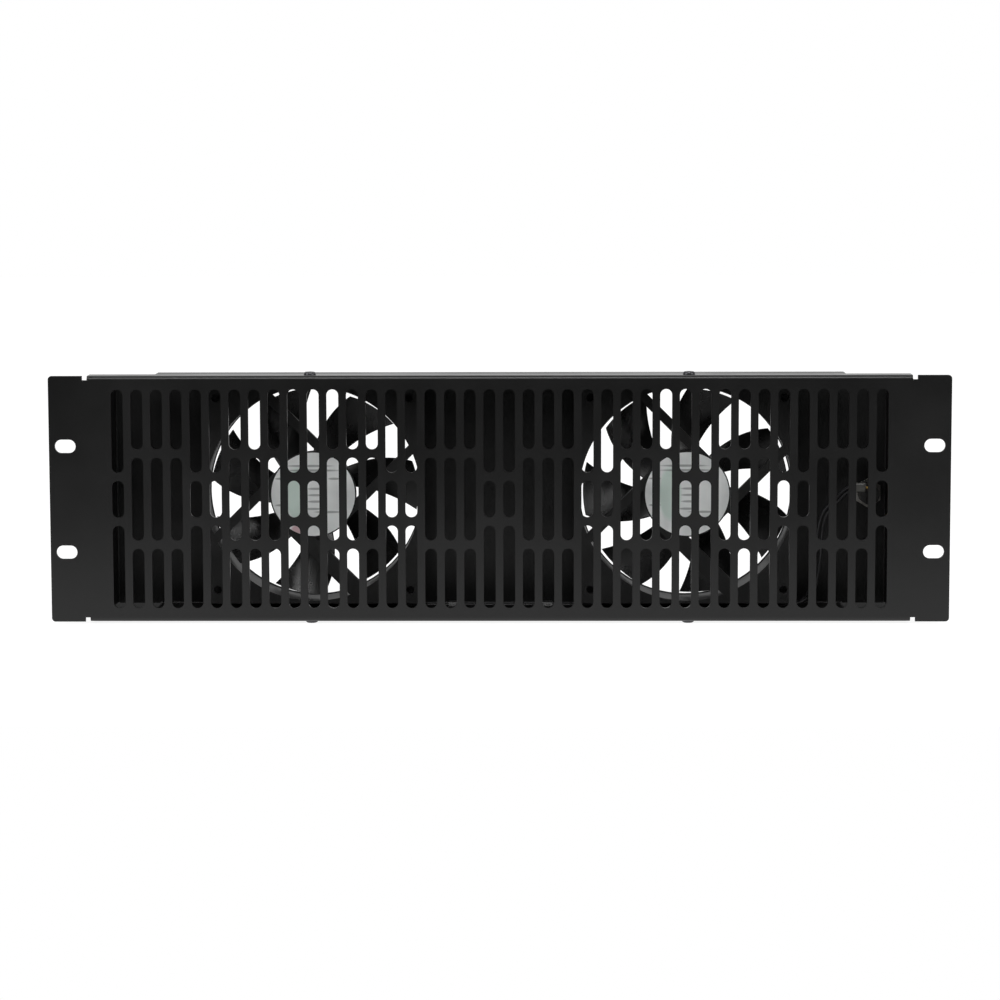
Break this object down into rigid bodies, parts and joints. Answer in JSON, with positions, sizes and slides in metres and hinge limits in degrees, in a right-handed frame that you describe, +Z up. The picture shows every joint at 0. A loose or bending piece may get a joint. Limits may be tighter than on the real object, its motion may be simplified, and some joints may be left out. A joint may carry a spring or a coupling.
{
  "type": "rack fan tray",
  "caption": "Shallow rack-mount fan tray: slotted front panel with ears, and a folded tray behind it that holds axial fans with struts, leads and a power inlet.",
  "frame": {"origin": "centre of the four rack slots, on the back face of the ears", "axes": "+X to the right seen from the front, +Y into the rack, +Z up"},
  "size_m": [0.4826, 0.0532, 0.1358],
  "materials": {
    "panel_coat": "fine satin black powder coat",
    "tray_coat": "satin black powder coat",
    "screw_steel": "black zinc",
    "zinc_steel": "clear zinc",
    "fan_plastic": "moulded black, fine texture",
    "impeller_plastic": "moulded black, semi-gloss",
    "label_film": "silver film",
    "motor_steel": "plain steel",
    "magnet": "bonded ferrite",
    "bright_steel": "polished steel",
    "copper": "enamelled copper",
    "board": "green circuit board",
    "black_lead": "satin insulation",
    "yellow_lead": "satin insulation",
    "splice_nylon": "natural nylon",
    "clip_nylon": "black nylon",
    "inlet_plastic": "moulded black",
    "inlet_nut_metal": "nickel plated"
  },
  "bodies": {
    "chassis": {"front_panel": "panel_coat", "rear_tray": "tray_coat", "flange_screws": "screw_steel", "left_fan_screws": "screw_steel", "right_fan_screws": "screw_steel", "clinch_nuts": "zinc_steel", "left_fan_frame": "fan_plastic", "right_fan_frame": "fan_plastic", "left_fan_label": "label_film", "right_fan_label": "label_film", "left_stator_core": "motor_steel", "right_stator_core": "motor_steel", "left_front_bearing": "bright_steel", "left_rear_bearing": "bright_steel", "left_bearing_spring": "bright_steel", "right_front_bearing": "bright_steel", "right_rear_bearing": "bright_steel", "right_bearing_spring": "bright_steel", "left_stator_coils": "copper", "right_stator_coils": "copper", "left_motor_board": "board", "right_motor_board": "board", "left_fan_leads": "black_lead", "right_fan_leads": "black_lead", "black_inlet_wire": "black_lead", "yellow_inlet_wire": "yellow_lead", "lead_splice": "splice_nylon", "lead_clips": "clip_nylon", "power_inlet": "inlet_plastic", "power_inlet_nut": "inlet_nut_metal"},
    "left_rotor": {"left_impeller": "impeller_plastic", "left_rotor_yoke": "motor_steel", "left_rotor_magnet": "magnet", "left_rotor_shaft": "bright_steel", "left_shaft_clip": "bright_steel"},
    "right_rotor": {"right_impeller": "impeller_plastic", "right_rotor_yoke": "motor_steel", "right_rotor_magnet": "magnet", "right_rotor_shaft": "bright_steel", "right_shaft_clip": "bright_steel"}
  },
  "joints": [
    {"name": "left_impeller_spin", "type": "hinge", "parent": "chassis", "child": "left_rotor", "pos_m": [-0.1016, 0.0228, 0], "axis": [0, 1, 0], "continuous": true},
    {"name": "right_impeller_spin", "type": "hinge", "parent": "chassis", "child": "right_rotor", "pos_m": [0.1016, 0.0228, 0], "axis": [0, 1, 0], "continuous": true}
  ]
}
